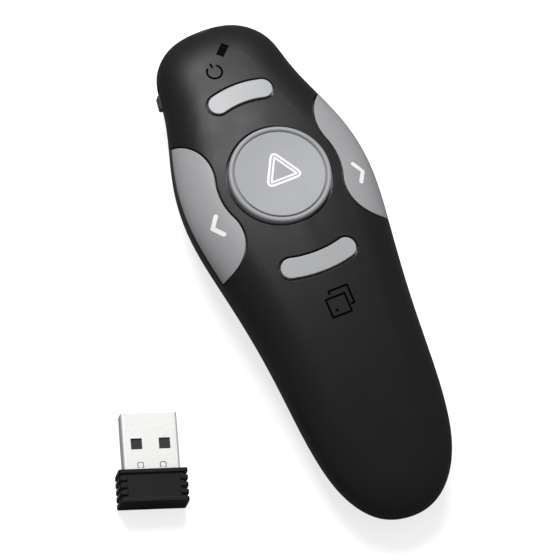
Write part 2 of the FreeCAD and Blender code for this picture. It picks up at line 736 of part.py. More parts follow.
def key_flange(plan):
    return form(FLANGE_TOP).cut(form(FLANGE_BOTTOM)).common(plan(FLANGE_REACH))


def stem(place, top):
    x, y = place
    return post(x, y, PLUNGER_TOP, top, STEM_RADIUS)


def side_key(hand):
    """A cap that continues the casing's skin, with a flange that catches under the casing."""
    foot = below_seam(KEY_TRAVEL + KEY_FOOT_GAP)
    cap = form(0).cut(form(FLANGE_BOTTOM)).common(side_key_prism(hand, 0)).cut(foot)
    flange = key_flange(lambda margin: side_key_prism(hand, margin)).cut(foot)
    name = "right" if hand > 0 else "left"
    peg = stem(SWITCH_PLACES[name], CREST_HEIGHT).common(form(WALL))
    return joined([cap, flange, peg])


def small_key(plan, name):
    """A cap that stands a little proud of the crown, with a flange under the casing."""
    cap = form(-SMALL_KEY_PROUD).cut(form(FLANGE_BOTTOM)).common(plan(0))
    peg = stem(SWITCH_PLACES[name], CREST_HEIGHT).common(form(WALL))
    return joined([cap, key_flange(plan), peg])


def laser_button():
    """A turned cap: raised rim, groove, dished face, skirt and a flange under the casing."""
    rim_inner = BUTTON_RADIUS - BUTTON_RIM_WIDTH
    groove_inner = rim_inner - BUTTON_GROOVE_WIDTH
    groove_floor = BUTTON_FACE_RISE - BUTTON_GROOVE_DEPTH
    skirt_inner = BUTTON_RADIUS - BUTTON_SKIRT_WALL
    flange_radius = BUTTON_RADIUS + BUTTON_GAP + FLANGE_REACH - KEY_GAP
    skirt_bottom = -BUTTON_FLANGE_DROP - FLANGE_THICKNESS
    rim_shoulder = BUTTON_RIM_RISE - BUTTON_RIM_WIDTH / 2
    rim_middle = (rim_inner + BUTTON_RADIUS) / 2
    centre = Vector(0, 0, BUTTON_FACE_RISE - BUTTON_DISH)
    face_middle = Vector(groove_inner / 2, 0, BUTTON_FACE_RISE - BUTTON_DISH * 3 / 4)
    face_edge = Vector(groove_inner, 0, BUTTON_FACE_RISE)
    corners = [
        Vector(BUTTON_RADIUS, 0, rim_shoulder),
        Vector(BUTTON_RADIUS, 0, -BUTTON_FLANGE_DROP),
        Vector(flange_radius, 0, -BUTTON_FLANGE_DROP),
        Vector(flange_radius, 0, skirt_bottom),
        Vector(skirt_inner, 0, skirt_bottom),
        Vector(skirt_inner, 0, -BUTTON_PLATE),
        Vector(0, 0, -BUTTON_PLATE),
        centre,
    ]
    edges = [
        Part.Arc(centre, face_middle, face_edge).toShape(),
        Part.LineSegment(face_edge, Vector(groove_inner, 0, groove_floor)).toShape(),
        Part.LineSegment(Vector(groove_inner, 0, groove_floor), Vector(rim_inner, 0, groove_floor)).toShape(),
        Part.LineSegment(Vector(rim_inner, 0, groove_floor), Vector(rim_inner, 0, rim_shoulder)).toShape(),
        Part.Arc(Vector(rim_inner, 0, rim_shoulder), Vector(rim_middle, 0, BUTTON_RIM_RISE), corners[0]).toShape(),
    ]
    for start, end in zip(corners[:-1], corners[1:]):
        edges.append(Part.LineSegment(start, end).toShape())
    cap = Part.Face(Part.Wire(edges)).revolve(Vector(0, 0, 0), Vector(0, 0, 1), 360)
    peg = stem(SWITCH_PLACES["laser"], BUTTON_CENTRE.z - BUTTON_PLATE / 2)
    return joined([on_button_axis(cap), peg])


# Board and electronics


def circuit_board():
    plan = [at_height(p, BOARD_HEIGHT) for p in drawn_in(BOARD_INSET)]
    board = lid(plan).extrude(Vector(0, 0, BOARD_THICKNESS))
    board = board.common(box(-WIDTH, WIDTH, BOARD_TAIL_Y, BOARD_HEAD_Y, 0, OVERRUN))
    for x, y in mirrored_places(SHELL_POST_HEAD):
        board = board.cut(post(x, y, 0, OVERRUN, POST_RADIUS + CELL_CLEARANCE))
    for x, y in mirrored_places(BOARD_POST_TAIL) + mirrored_places(BOARD_POST_HEAD):
        board = board.cut(post(x, y, 0, OVERRUN, SCREW_RADIUS + SCREW_CLEARANCE))
    return board


def switch_body(x, y):
    half = SWITCH_SIDE / 2
    body = box(x - half, x + half, y - half, y + half, BOARD_TOP, BOARD_TOP + SWITCH_HEIGHT)
    well = post(x, y, BOARD_TOP + SWITCH_HEIGHT - 2 * KEY_TRAVEL, OVERRUN, PLUNGER_RADIUS + PLUNGER_CLEARANCE)
    return body.cut(well)


def plunger(x, y):
    return post(x, y, BOARD_TOP + SWITCH_HEIGHT - KEY_TRAVEL / 2, PLUNGER_TOP, PLUNGER_RADIUS)


def centred_box(x, y, z, length_x, length_y, height):
    return box(x - length_x / 2, x + length_x / 2, y - length_y / 2, y + length_y / 2, z, z + height)


def chip_capacitors():
    row = []
    for i in range(CAPACITOR_COUNT):
        y = CHIP_Y + (i - (CAPACITOR_COUNT - 1) / 2) * CAPACITOR_PITCH
        row.append(centred_box(CAPACITOR_X, y, BOARD_TOP, CAPACITOR_LENGTH, CAPACITOR_WIDTH, CAPACITOR_WIDTH))
    return Part.makeCompound(row)


def led_y():
    return BOARD_HEAD_Y - LED_LENGTH / 2


def status_led():
    return centred_box(LAMP_X, led_y(), BOARD_TOP, LED_WIDTH, LED_LENGTH, LED_HEIGHT)


def light_guide():
    """A flat clear bar from above the lamp to the window, with the diamond post at its end."""
    start_y = led_y() - LED_LENGTH / 2
    bend_y = led_y() + LED_LENGTH / 2
    end_y = WINDOW_Y + WINDOW_LENGTH / 2
    start_z = BOARD_TOP + LED_HEIGHT + LED_GAP
    end_z = crest_height(0, end_y) - WALL - FLANGE_CLEARANCE - GUIDE_THICKNESS
    profile = [(start_y, start_z), (bend_y, start_z), (end_y, end_z), (end_y, end_z + GUIDE_THICKNESS),
               (bend_y, start_z + GUIDE_THICKNESS), (start_y, start_z + GUIDE_THICKNESS)]
    corners = [Vector(LAMP_X - GUIDE_WIDTH / 2, y, z) for y, z in profile]
    bar = Part.Face(Part.makePolygon(corners + [corners[0]])).extrude(Vector(GUIDE_WIDTH, 0, 0))
    bar = bar.common(form(WALL + FLANGE_CLEARANCE))
    diamond = window_prism(0).common(form(WINDOW_RECESS))
    diamond = diamond.cut(box(-WIDTH, WIDTH, -LENGTH, LENGTH, 0, end_z + GUIDE_THICKNESS / 2))
    return joined([bar, diamond])


# Power knob and its switch


def power_knob():
    """A nub in the slot, on a plate behind the wall that forks round the switch lever."""
    plate_out = -WALL - KNOB_PLATE_GAP
    plate_in = plate_out - KNOB_PLATE_THICKNESS
    nub = at_knob(-KNOB_LENGTH / 2, KNOB_LENGTH / 2, plate_out, KNOB_PROUD,
                  KNOB_HEIGHT - KNOB_TALL / 2, KNOB_HEIGHT + KNOB_TALL / 2)
    upright = [edge for edge in nub.Edges if abs(edge.tangentAt(edge.FirstParameter).z) > 0.5]
    point, along, out = knob_place()
    outer = [edge for edge in upright if (edge.CenterOfMass - point).dot(out) > 0]
    nub = nub.makeFillet(KNOB_PROUD, outer)
    plate = at_knob(-KNOB_PLATE_LENGTH / 2, KNOB_PLATE_LENGTH / 2, plate_in, plate_out,
                    KNOB_HEIGHT - KNOB_PLATE_TALL / 2, KNOB_HEIGHT + KNOB_PLATE_TALL / 2)
    fork = LEVER_LENGTH / 2 + LEVER_CLEARANCE
    fork_tall = LEVER_TALL / 2 + LEVER_CLEARANCE
    room = at_knob(-fork, fork, plate_in, plate_out, KNOB_HEIGHT - fork_tall, KNOB_HEIGHT + fork_tall)
    return joined([nub, plate]).cut(room)


def switch_face():
    return -WALL - KNOB_PLATE_GAP - KNOB_PLATE_THICKNESS - SLIDE_SWITCH_GAP


def slide_lever():
    tip = -WALL - KNOB_PLATE_GAP - LEVER_CLEARANCE
    return at_knob(-LEVER_LENGTH / 2, LEVER_LENGTH / 2, tip - LEVER_REACH, tip,
                   KNOB_HEIGHT - LEVER_TALL / 2, KNOB_HEIGHT + LEVER_TALL / 2)


def slide_switch():
    half = SLIDE_SWITCH_LENGTH / 2
    face = switch_face()
    bottom = KNOB_HEIGHT - LEVER_TALL
    body = at_knob(-half, half, face - SLIDE_SWITCH_DEPTH, face, bottom, BOARD_HEIGHT)
    room = LEVER_LENGTH / 2 + LEVER_CLEARANCE
    room_tall = LEVER_TALL / 2 + LEVER_CLEARANCE
    slot = at_knob(-room, room + KNOB_TRAVEL, face - LEVER_REACH, face,
                   KNOB_HEIGHT - room_tall, KNOB_HEIGHT + room_tall)
    return body.cut(slot)


# Battery and contacts


def battery_cell():
    can = rod_along_y(CELL_RADIUS, CELL_TAIL_Y, CELL_HEAD_Y - CELL_NUB_LENGTH, 0, CELL_HEIGHT)
    can = can.makeFillet(CELL_CLEARANCE, can.Edges)
    nub = rod_along_y(CELL_NUB_RADIUS, CELL_HEAD_Y - 2 * CELL_NUB_LENGTH, CELL_HEAD_Y, 0, CELL_HEIGHT)
    return joined([can, nub])


def battery_plate():
    half = PLATE_SIDE / 2
    return box(-half, half, CELL_HEAD_Y, CELL_HEAD_Y + PLATE_THICKNESS, CELL_HEIGHT - half, CELL_HEIGHT + half)


def battery_spring():
    """A coil of round wire that leans on the tray's tail wall and presses on the cell."""
    points = []
    count = SPRING_TURNS * SPRING_POINTS
    for i in range(count + 1):
        turned = polar(Vector(0, 0, 0), SPRING_RADIUS, 2 * math.pi * i / SPRING_POINTS)
        points.append(at_height(turned, (SPRING_LENGTH - SPRING_WIRE) * i / count))
    helix = Part.BSplineCurve()
    helix.interpolate(points)
    section = Part.Circle(points[0], helix.tangent(helix.FirstParameter)[0], SPRING_WIRE / 2)
    coil = Part.Wire([helix.toShape()]).makePipeShell([Part.Wire([section.toShape()])], True, True)
    coil.rotate(Vector(0, 0, 0), Vector(1, 0, 0), -90)
    coil.translate(Vector(0, CELL_TAIL_Y - SPRING_LENGTH + SPRING_WIRE / 2, CELL_HEIGHT))
    return coil


# Laser


def laser_module():
    barrel = rod_along_y(LASER_RADIUS, LASER_TAIL_Y, LASER_HEAD_Y, 0, LASER_HEIGHT)
    bore = rod_along_y(LASER_BORE_RADIUS, LASER_HEAD_Y - LASER_BORE_DEPTH, LASER_HEAD_Y, 0, LASER_HEIGHT)
    return barrel.cut(bore)


def laser_lens():
    """A plano-convex lens: a short rod under a dome."""
    radius = LASER_BORE_RADIUS - LENS_CLEARANCE
    back = LASER_HEAD_Y - LASER_BORE_DEPTH
    front = back + LENS_THICKNESS
    dome = (radius ** 2 + LENS_BULGE ** 2) / (2 * LENS_BULGE)
    ball = Part.makeSphere(dome, Vector(0, front - dome, LASER_HEIGHT))
    return rod_along_y(radius, back, front, 0, LASER_HEIGHT).common(ball)


def laser_window():
    disc = exit_rod(EXIT_RADIUS).common(form(0))
    flange = exit_rod(EXIT_RADIUS + EXIT_FLANGE).common(form(WALL + FLANGE_CLEARANCE))
    back = LENGTH / 2 - EXIT_THICKNESS
    return joined([disc, flange]).cut(box(-WIDTH, WIDTH, -LENGTH, back, 0, CREST_HEIGHT))


def laser_leads():
    leads = []
    for hand in HANDS:
        x = hand * LEAD_X
        start = Vector(x, LASER_TAIL_Y, LASER_HEIGHT)
        turn = start - Vector(0, LEAD_RUN, 0)
        corner = LEAD_BEND * (1 - math.sqrt(0.5))
        middle = turn + Vector(0, -LEAD_BEND + corner, corner)
        risen = turn + Vector(0, -LEAD_BEND, LEAD_BEND)
        end = at_height(risen, BOARD_HEIGHT)
        path = Part.Wire([Part.LineSegment(start, turn).toShape(), Part.Arc(turn, middle, risen).toShape(),
                          Part.LineSegment(risen, end).toShape()])
        section = Part.Wire([Part.Circle(start, Vector(0, 1, 0), LEAD_RADIUS).toShape()])
        leads.append(path.makePipeShell([section], True, False))
    return Part.makeCompound(leads)


# Screws


def screw(x, y, seat, length, up):
    """A pan-head screw with a cross recess; its head lies against the seat."""
    shank_bottom = seat if up else seat - length
    head_bottom = seat - SCREW_HEAD_HEIGHT if up else seat
    shank = post(x, y, shank_bottom, shank_bottom + length, SCREW_RADIUS)
    head = post(x, y, head_bottom, head_bottom + SCREW_HEAD_HEIGHT, SCREW_HEAD_RADIUS)
    outer_face = head_bottom if up else head_bottom + SCREW_HEAD_HEIGHT
    sink = outer_face - SCREW_DRIVE_DEPTH
    width = SCREW_DRIVE_RADIUS / 2
    cross = [
        centred_box(x, y, sink, 2 * SCREW_DRIVE_RADIUS, width, 2 * SCREW_DRIVE_DEPTH),
        centred_box(x, y, sink, width, 2 * SCREW_DRIVE_RADIUS, 2 * SCREW_DRIVE_DEPTH),
    ]
    return joined([shank, head]).cut(joined(cross))


def board_screws():
    places = mirrored_places(BOARD_POST_TAIL) + mirrored_places(BOARD_POST_HEAD)
    length = BOARD_THICKNESS + SCREW_BITE - HEAD_RECESS_GAP
    return Part.makeCompound([screw(x, y, BOARD_TOP, length, False) for x, y in places])


def shell_screws():
    screws = []
    tip = SHELL_JOIN_HEIGHT + SCREW_BITE - HEAD_RECESS_GAP
    for x, y in mirrored_places(SHELL_POST_HEAD):
        screws.append(screw(x, y, HEAD_RECESS_HEIGHT, tip - HEAD_RECESS_HEIGHT, True))
    for x, y in mirrored_places(SHELL_POST_TAIL):
        screws.append(screw(x, y, DOOR_SPLIT_HEIGHT, tip - DOOR_SPLIT_HEIGHT, True))
    return Part.makeCompound(screws)


# Receiver, drawn lying along Y with its grip's back end at the origin, then put in its place


def beside(shape):
    shape.translate(Vector(0, -(RECEIVER_GRIP + PLUG_LENGTH) / 2, 0))
    shape.rotate(Vector(0, 0, 0), Vector(0, 0, 1), RECEIVER_TURN_DEGREES)
    shape.translate(Vector(RECEIVER_X, RECEIVER_Y, 0))
    return shape


def rounded_bar(width, thickness, y0, y1, radius):
    middle = RECEIVER_THICKNESS / 2
    bar = box(-width / 2, width / 2, y0, y1, middle - thickness / 2, middle + thickness / 2)
    long_edges = [edge for edge in bar.Edges if abs(edge.tangentAt(edge.FirstParameter).y) > 0.5]
    return bar.makeFillet(radius, long_edges)


def receiver_grip():
    """A core with ribs round its narrow sides that turn onto the faces."""
    core = rounded_bar(RECEIVER_WIDTH - 2 * RECEIVER_RIB_DEPTH, RECEIVER_THICKNESS - 2 * RECEIVER_RIB_DEPTH,
                       0, RECEIVER_GRIP, RECEIVER_BEVEL)
    pitch = RECEIVER_GRIP / (RECEIVER_RIB_COUNT - 1 + RECEIVER_RIB_SHARE)
    rib = pitch * RECEIVER_RIB_SHARE
    half = RECEIVER_WIDTH / 2
    ribs = []
    for i in range(RECEIVER_RIB_COUNT):
        y = i * pitch
        plate = rounded_bar(RECEIVER_WIDTH, RECEIVER_THICKNESS, y, y + rib, RECEIVER_BEVEL)
        if 0 < i < RECEIVER_RIB_COUNT - 1:
            inner = half - RECEIVER_RIB_WRAP
            plate = plate.cut(box(-inner, inner, y, y + rib, 0, RECEIVER_THICKNESS))
        ribs.append(plate)
    grip = joined([core] + ribs)
    socket = rounded_bar(PLUG_WIDTH + 2 * RECEIVER_FIT, PLUG_THICKNESS + 2 * RECEIVER_FIT,
                         RECEIVER_GRIP - RECEIVER_BOARD_LENGTH, RECEIVER_GRIP, PLUG_CORNER)
    return beside(grip.cut(socket))


def tab_slit(x, y):
    """A narrow slit round a small tab with two round corners, which a bridge at its foot holds."""
    solids = []
    for shrink in (0, PLUG_TAB_SLIT):
        tab = centred_box(x, y, 0, PLUG_TAB_WIDTH - 2 * shrink, PLUG_TAB_LENGTH - 2 * shrink, RECEIVER_THICKNESS)
        upright = [edge for edge in tab.Edges if abs(edge.tangentAt(edge.FirstParameter).z) > UPRIGHT]
        corners = [edge for edge in upright if edge.CenterOfMass.y > y]
        solids.append(tab.makeFillet(PLUG_TAB_ROUNDING - shrink, corners))
    bridge = centred_box(x, y - PLUG_TAB_LENGTH / 2, 0, PLUG_TAB_BRIDGE, PLUG_TAB_LENGTH, RECEIVER_THICKNESS)
    return solids[0].cut(solids[1]).cut(bridge)


def receiver_plug():
    """A folded sheet-metal sleeve, open at its end, with square holes and stops in both faces."""
    back = RECEIVER_GRIP - RECEIVER_BOARD_LENGTH / 2
    tip = RECEIVER_GRIP + PLUG_LENGTH
    outer = rounded_bar(PLUG_WIDTH, PLUG_THICKNESS, back, tip, PLUG_CORNER)
    inner = rounded_bar(PLUG_WIDTH - 2 * PLUG_SHEET, PLUG_THICKNESS - 2 * PLUG_SHEET, back, tip,
                        PLUG_CORNER - PLUG_SHEET)
    sleeve = outer.cut(inner)
    for hand in HANDS:
        hole = centred_box(hand * PLUG_HOLE_X, tip - PLUG_HOLE_SETBACK, 0, PLUG_HOLE, PLUG_HOLE, RECEIVER_THICKNESS)
        sleeve = sleeve.cut(hole).cut(tab_slit(hand * PLUG_TAB_X, tip - PLUG_TAB_SETBACK))
    return beside(sleeve)


def tongue_bottom():
    """The tongue lies under the upper face, with its contacts on its lower side."""
    return RECEIVER_THICKNESS / 2 + PLUG_THICKNESS / 2 - PLUG_SHEET - RECEIVER_FIT - TONGUE_THICKNESS


def receiver_tongue():
    back = RECEIVER_GRIP - RECEIVER_BOARD_LENGTH / 2
    half = TONGUE_WIDTH / 2
    bottom = tongue_bottom()
    slab = box(-half, half, back, RECEIVER_GRIP + PLUG_LENGTH - TONGUE_SETBACK, bottom, bottom + TONGUE_THICKNESS)
    for x, length in contact_rows():
        slab = slab.cut(contact(x, length))
    return beside(slab)


def contact_rows():
    rows = []
    for hand in HANDS:
        rows.append((hand * CONTACT_INNER_X, CONTACT_INNER_LENGTH))
        rows.append((hand * CONTACT_OUTER_X, CONTACT_OUTER_LENGTH))
    return rows


def contact(x, length):
    tip = RECEIVER_GRIP + PLUG_LENGTH - 2 * TONGUE_SETBACK
    bottom = tongue_bottom()
    return box(x - CONTACT_WIDTH / 2, x + CONTACT_WIDTH / 2, tip - length, tip, bottom, bottom + CONTACT_THICKNESS)


def receiver_contacts():
    return beside(Part.makeCompound([contact(x, length) for x, length in contact_rows()]))


def receiver_board():
    back = RECEIVER_GRIP - RECEIVER_BOARD_LENGTH + RECEIVER_FIT
    front = RECEIVER_GRIP - RECEIVER_BOARD_LENGTH / 2
    middle = RECEIVER_THICKNESS / 2
    half = RECEIVER_BOARD_WIDTH / 2
    return beside(box(-half, half, back, front, middle - RECEIVER_BOARD_THICKNESS / 2,
                      middle + RECEIVER_BOARD_THICKNESS / 2))


save("upper_shell", upper_shell())
save("lower_shell", lower_shell())
save("battery_door", battery_door())
save("laser_button", laser_button())
save("left_key", side_key(-1))
save("right_key", side_key(1))
save("upper_key", small_key(upper_key_prism, "upper"))
save("lower_key", small_key(lower_key_prism, "lower"))
save("circuit_board", circuit_board())
save("key_switches", Part.makeCompound([switch_body(x, y) for x, y in SWITCH_PLACES.values()]))
for key_name, (switch_x, switch_y) in SWITCH_PLACES.items():
    save(key_name + "_plunger", plunger(switch_x, switch_y))
save("radio_chip", centred_box(0, CHIP_Y, BOARD_TOP, CHIP_SIDE, CHIP_SIDE, CHIP_HEIGHT))
save("crystal", centred_box(CRYSTAL_X, CHIP_Y, BOARD_TOP, CRYSTAL_WIDTH, CRYSTAL_LENGTH, CRYSTAL_HEIGHT))
save("chip_capacitors", chip_capacitors())
save("status_led", status_led())
save("light_guide", light_guide())
save("power_knob", power_knob())
save("slide_lever", slide_lever())
save("slide_switch", slide_switch())
save("battery_cell", battery_cell())
save("battery_plate", battery_plate())
save("battery_spring", battery_spring())
save("laser_module", laser_module())
save("laser_lens", laser_lens())
save("laser_leads", laser_leads())
save("laser_window", laser_window())
save("board_screws", board_screws())
save("shell_screws", shell_screws())
save("receiver_grip", receiver_grip())
save("receiver_plug", receiver_plug())
save("receiver_tongue", receiver_tongue())
save("receiver_contacts", receiver_contacts())
save("receiver_board", receiver_board())
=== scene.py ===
import math

import bpy
from mathutils import Matrix, Vector


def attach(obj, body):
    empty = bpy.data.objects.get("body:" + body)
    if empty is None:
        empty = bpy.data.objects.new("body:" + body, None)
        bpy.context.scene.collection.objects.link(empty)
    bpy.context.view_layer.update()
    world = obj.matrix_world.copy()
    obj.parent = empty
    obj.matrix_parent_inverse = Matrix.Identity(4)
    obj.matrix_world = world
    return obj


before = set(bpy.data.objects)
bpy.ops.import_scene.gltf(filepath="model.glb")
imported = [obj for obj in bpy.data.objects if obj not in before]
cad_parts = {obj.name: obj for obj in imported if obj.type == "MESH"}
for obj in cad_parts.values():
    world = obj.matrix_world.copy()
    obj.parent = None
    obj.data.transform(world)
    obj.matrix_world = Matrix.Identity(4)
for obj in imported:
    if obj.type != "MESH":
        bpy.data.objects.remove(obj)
bpy.ops.object.select_all(action="DESELECT")
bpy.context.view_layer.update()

# Casing: an upper and a lower shell and a battery cover that slides off the tail.
# All three are moulded in black plastic from a spark-eroded mould, which leaves
# a fine even grain, slightly polished where the palm rests.
casing_black = (0.0075, 0.0075, 0.0082)
casing_grain = 0.00022
noise_low = 0.3
noise_high = 0.7
bevel_samples = 8
cloud_size = 0.014
cloud_depth = 0.07
polish_size = 0.006
polish_swing = 0.03
grain_strength = 0.5


def blank(name):
    """A new material with its node tree, its shader and the piece's own coordinates."""
    material = bpy.data.materials.new(name)
    material.use_nodes = True
    tree = material.node_tree
    place = tree.nodes.new("ShaderNodeTexCoord").outputs["Object"]
    return material, tree, tree.nodes["Principled BSDF"], place


def noise(tree, place, size, detail):
    """Cloudy values from 0 to 1 whose patches are about the given size."""
    cloud = tree.nodes.new("ShaderNodeTexNoise")
    cloud.inputs["Scale"].default_value = 1 / size
    cloud.inputs["Detail"].default_value = detail
    tree.links.new(place, cloud.inputs["Vector"])
    return cloud.outputs["Fac"]


def spread(tree, value, middle, swing):
    """The noise's usual range, stretched to run from below to above a middle value."""
    scale = tree.nodes.new("ShaderNodeMapRange")
    scale.inputs["From Min"].default_value = noise_low
    scale.inputs["From Max"].default_value = noise_high
    scale.inputs["To Min"].default_value = middle - swing
    scale.inputs["To Max"].default_value = middle + swing
    tree.links.new(value, scale.inputs["Value"])
    return scale.outputs["Result"]


def shaded(colour, share):
    """The colour made lighter or darker by a share of itself."""
    return [channel * (1 + share) for channel in colour]


def tinted(tree, value, dark, light):
    """A colour that wanders between a dark and a light tone."""
    mix = tree.nodes.new("ShaderNodeMix")
    mix.data_type = "RGBA"
    mix.inputs["A"].default_value = (*dark, 1)
    mix.inputs["B"].default_value = (*light, 1)
    tree.links.new(value, mix.inputs["Factor"])
    return mix.outputs["Result"]


def softened(tree, radius):
    """The surface's direction, turned smoothly over every edge as if it was rounded."""
    edge = tree.nodes.new("ShaderNodeBevel")
    edge.samples = bevel_samples
    edge.inputs["Radius"].default_value = radius
    return edge.outputs["Normal"]


def raised(tree, value, height, strength):
    """A small relief of the given height."""
    bump = tree.nodes.new("ShaderNodeBump")
    bump.inputs["Distance"].default_value = height
    bump.inputs["Strength"].default_value = strength
    tree.links.new(value, bump.inputs["Height"])
    return bump.outputs["Normal"]


def moulded(name, colour, roughness, grain, relief, specular=0.5, edge_radius=0.0):
    """Moulded plastic: grain from the mould, faint clouding, and patches polished by hands."""
    material, tree, shader, place = blank(name)
    clouds = noise(tree, place, cloud_size, 3)
    tint = tinted(tree, clouds, shaded(colour, -cloud_depth), shaded(colour, cloud_depth))
    tree.links.new(tint, shader.inputs["Base Color"])
    polish = noise(tree, place, polish_size, 2)
    tree.links.new(spread(tree, polish, roughness, polish_swing), shader.inputs["Roughness"])
    surface = raised(tree, noise(tree, place, grain, 2), relief, grain_strength)
    if edge_radius:
        tree.links.new(softened(tree, edge_radius), surface.node.inputs["Normal"])
    tree.links.new(surface, shader.inputs["Normal"])
    shader.inputs["Specular IOR Level"].default_value = specular
    return material


def dress(node, material):
    """Give a solid of the frame its finish."""
    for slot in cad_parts[node].material_slots:
        slot.material = material


casing_plastic = moulded("casing_plastic", casing_black, roughness=0.44, grain=casing_grain,
                         relief=0.00002, specular=0.3, edge_radius=0.0002)
for node in ("upper_shell", "lower_shell", "battery_door"):
    dress(node, casing_plastic)

# Keys: a round button and four caps in three mid-greys, smoother than the casing and
# rounded at their edges. Their flanges catch under the casing, and each presses a switch
# on the board.
for name, grey, keys in (
        ("button_plastic", (0.33, 0.335, 0.35), ("laser_button",)),
        ("side_key_plastic", (0.35, 0.35, 0.365), ("left_key", "right_key")),
        ("small_key_plastic", (0.4, 0.405, 0.415), ("upper_key", "lower_key"))):
    key_plastic = moulded(name, grey, roughness=0.42, grain=0.0002, relief=0.000012, specular=0.4,
                          edge_radius=0.0003)
    for key in keys:
        dress(key, key_plastic)

# Power slide: a small ribless nub of the same black plastic, a little glossier
# from handling, in a slot in the left flank.
knob_plastic = moulded("knob_plastic", casing_black, roughness=0.36, grain=casing_grain,
                       relief=0.00001, specular=0.4)
dress("power_knob", knob_plastic)

# Printed signs: a chevron on each side key and nested triangles on the round button,
# pad-printed in white ink. Each is drawn flat above the crown and laid down on its key
# as a film a few hundredths of a millimetre thick.
sign_height = 0.03
ink_thickness = 0.00006
ink_mottle = 0.0005
ink_depth = 0.04
ink_swing = 0.05
chevron_stroke = 0.0009
chevron_rounding = 0.499 * chevron_stroke
chevron_tip = Vector((0.01755, 0.01345, sign_height))
chevron_ends = (Vector((0.01605, 0.01555, sign_height)), Vector((0.01605, 0.01125, sign_height)))
triangle_middle = Vector((0.0004, 0.0192, sign_height))
triangle_corner_reach = math.sqrt(3)
line_cuts = 6
end_share = 0.99


def picked(sign, wanted):
    """Select the sign's vertices whose place meets the wanted test, and nothing else."""
    bpy.ops.mesh.select_all(action="DESELECT")
    bpy.ops.object.mode_set(mode="OBJECT")
    for vertex in sign.data.vertices:
        vertex.select = wanted(vertex.co)
    bpy.ops.object.mode_set(mode="EDIT")


def printed_on(sign, node, body, material):
    """Lay a flat sign on a solid's face from above, give it its thickness, and fix it to its body."""
    bpy.ops.object.mode_set(mode="OBJECT")
    bpy.ops.object.transform_apply(location=True, rotation=True, scale=True)
    wrap = sign.modifiers.new("lay", "SHRINKWRAP")
    wrap.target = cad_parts[node]
    wrap.wrap_method = "PROJECT"
    wrap.use_project_z = True
    wrap.use_negative_direction = True
    wrap.use_positive_direction = False
    wrap.offset = 0
    bpy.ops.object.modifier_apply(modifier="lay")
    solid = sign.modifiers.new("thickness", "SOLIDIFY")
    solid.thickness = ink_thickness
    solid.offset = 0
    bpy.ops.object.modifier_apply(modifier="thickness")
    sign.data.materials.append(material)
    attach(sign, body)
    sign.select_set(False)


def inked(name, colour, roughness):
    """Printing ink: nearly even, with the faint mottle of the pad."""
    material, tree, shader, place = blank(name)
    mottle = noise(tree, place, ink_mottle, 2)
    tint = tinted(tree, mottle, shaded(colour, -ink_depth), colour)
    tree.links.new(tint, shader.inputs["Base Color"])
    tree.links.new(spread(tree, mottle, roughness, ink_swing), shader.inputs["Roughness"])
    return material


def line_sign(name, start, end, stroke, rounding, node, body, material):
    """A line from start to end, with its corners rounded, laid on a solid."""
    bpy.ops.mesh.primitive_grid_add(x_subdivisions=line_cuts, y_subdivisions=1, size=1,
                                    location=(start + end) / 2)
    line = bpy.context.object
    line.name = name
    line.scale = ((end - start).length + stroke, stroke, 1)
    bpy.ops.object.transform_apply(location=False, rotation=False, scale=True)
    line.rotation_euler = (0, 0, math.atan2(end.y - start.y, end.x - start.x))
    bpy.ops.object.mode_set(mode="EDIT")
    half = (end - start).length / 2 + stroke / 2
    picked(line, lambda place: abs(place.x) > half * end_share)
    bpy.ops.mesh.bevel(offset=rounding, segments=6, affect="VERTICES")
    printed_on(line, node, body, material)


white_ink = inked("white_ink", (0.95, 0.95, 0.95), roughness=0.5)
for hand, key in ((-1, "left_key"), (1, "right_key")):
    sided = Vector((hand, 1, 1))
    for part, arm_end in zip(("head", "tail"), chevron_ends):
        line_sign(key + "_chevron_" + part, chevron_tip * sided, arm_end * sided, chevron_stroke,
                  chevron_rounding, key, key, white_ink)

for name, radius, stroke, rounding in (
        ("button_triangle_outer", 0.0054, 0.0005, 0.0012),
        ("button_triangle_inner", 0.0038, 0.00042, 0.0003)):
    bpy.ops.mesh.primitive_circle_add(vertices=3, radius=radius, fill_type="NGON", location=triangle_middle)
    triangle = bpy.context.object
    triangle.name = name
    bpy.ops.object.mode_set(mode="EDIT")
    bpy.ops.mesh.select_all(action="SELECT")
    bpy.ops.mesh.bevel(offset=rounding * triangle_corner_reach, segments=8, affect="VERTICES")
    bpy.ops.mesh.select_all(action="SELECT")
    bpy.ops.mesh.inset(thickness=stroke)
    bpy.ops.mesh.delete(type="FACE")
    bpy.ops.mesh.select_all(action="SELECT")
    bpy.ops.mesh.subdivide(number_cuts=2)
    printed_on(triangle, "laser_button", "laser_button", white_ink)

# Sunk signs: a power ring beside the power slide and two overlapping screens below the
# lower key. They are engraved in the real casing. Here each is a thin dead matt black line
# laid on it: painted shade standing in for the shadow down in the engraved groove.
ring_middle = Vector((-0.00248, 0.046, sign_height))
ring_radius = 0.0016
ring_stroke = 0.00044
ring_gap = math.radians(32)
tick_length = 0.0008
screen_middle = Vector((-0.00015, -0.0125, sign_height))
screen_stroke = 0.00044
screen_half = Vector((0.00216, 0.00203, 0))
screen_shift = Vector((0.00125, 0.0015, 0))
screen_stub = 0.0006
cursor_place = Vector((-0.00085, -0.0133, sign_height))
cursor_radius = 0.00055
cursor_turn = math.radians(-45)
line_rounding_share = 0.2


def sunk_line(name, start, end, stroke):
    """One straight stroke of a sunk sign, laid on the upper shell."""
    line_sign(name, start, end, stroke, stroke * line_rounding_share, "upper_shell", "casing",
              groove_shade_black)


# Painted shade: the black of these lines stands for the shadow inside the engraved grooves, with no shine at
# all.
groove_shade_black = inked("groove_shade_black", (0.0015, 0.0015, 0.0015), roughness=0.8)
groove_shade_black.node_tree.nodes["Principled BSDF"].inputs["Specular IOR Level"].default_value = 0

